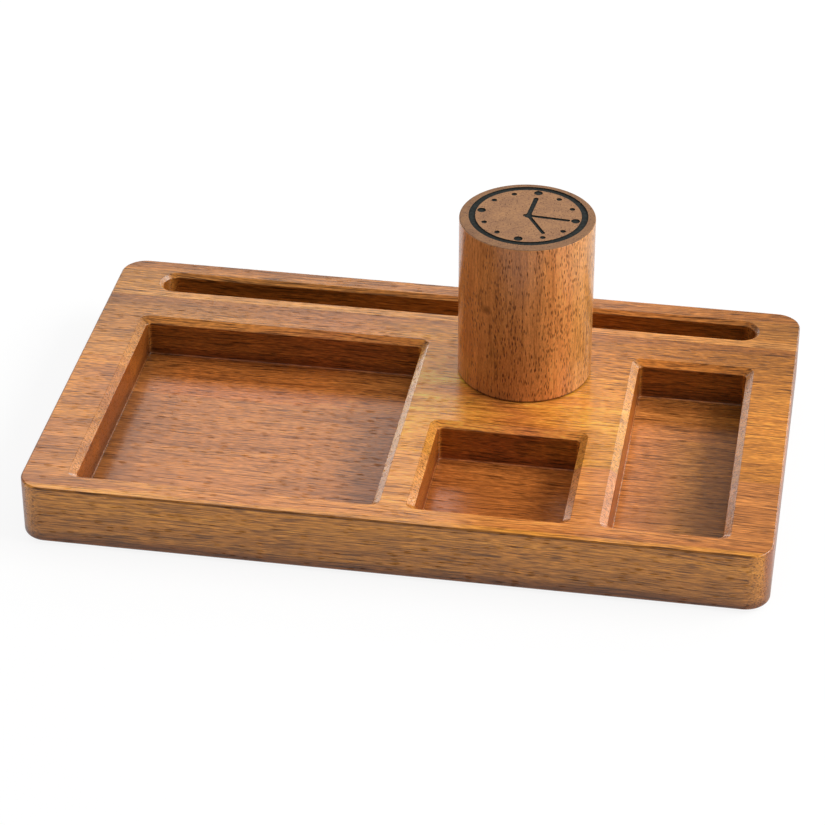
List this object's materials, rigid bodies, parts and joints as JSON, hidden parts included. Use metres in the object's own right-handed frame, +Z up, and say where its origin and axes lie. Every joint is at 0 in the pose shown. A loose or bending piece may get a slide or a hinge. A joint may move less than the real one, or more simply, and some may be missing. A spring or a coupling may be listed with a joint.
{
  "type": "watch stand",
  "caption": "Wooden desk tray of glued staves with open pockets, a long slot for a telephone and a round post with an engraved dial that a watch strap goes round.",
  "frame": {"origin": "under the middle of the tray, on the surface that the pads stand on", "axes": "+X along the tray to the right seen from the front, +Y to the slot at the back, +Z up along the post"},
  "size_m": [0.3, 0.184, 0.0998],
  "materials": {
    "stave_tan": "satin oiled acacia, light tan",
    "stave_gold": "satin oiled acacia, golden",
    "stave_red": "satin oiled acacia, reddish",
    "stave_brown": "satin oiled acacia, brown",
    "post_wood": "satin turned acacia, dial engraved dark",
    "screw_steel": "zinc plated",
    "pad_rubber": "matte"
  },
  "bodies": {
    "root": {"rear_stave": "stave_tan", "middle_rear_stave": "stave_gold", "middle_front_stave": "stave_red", "front_stave": "stave_brown", "watch_post": "post_wood", "post_screw_left": "screw_steel", "post_screw_right": "screw_steel", "foot_pad_front_left": "pad_rubber", "foot_pad_front_right": "pad_rubber", "foot_pad_rear_left": "pad_rubber", "foot_pad_rear_right": "pad_rubber"}
  },
  "joints": []
}
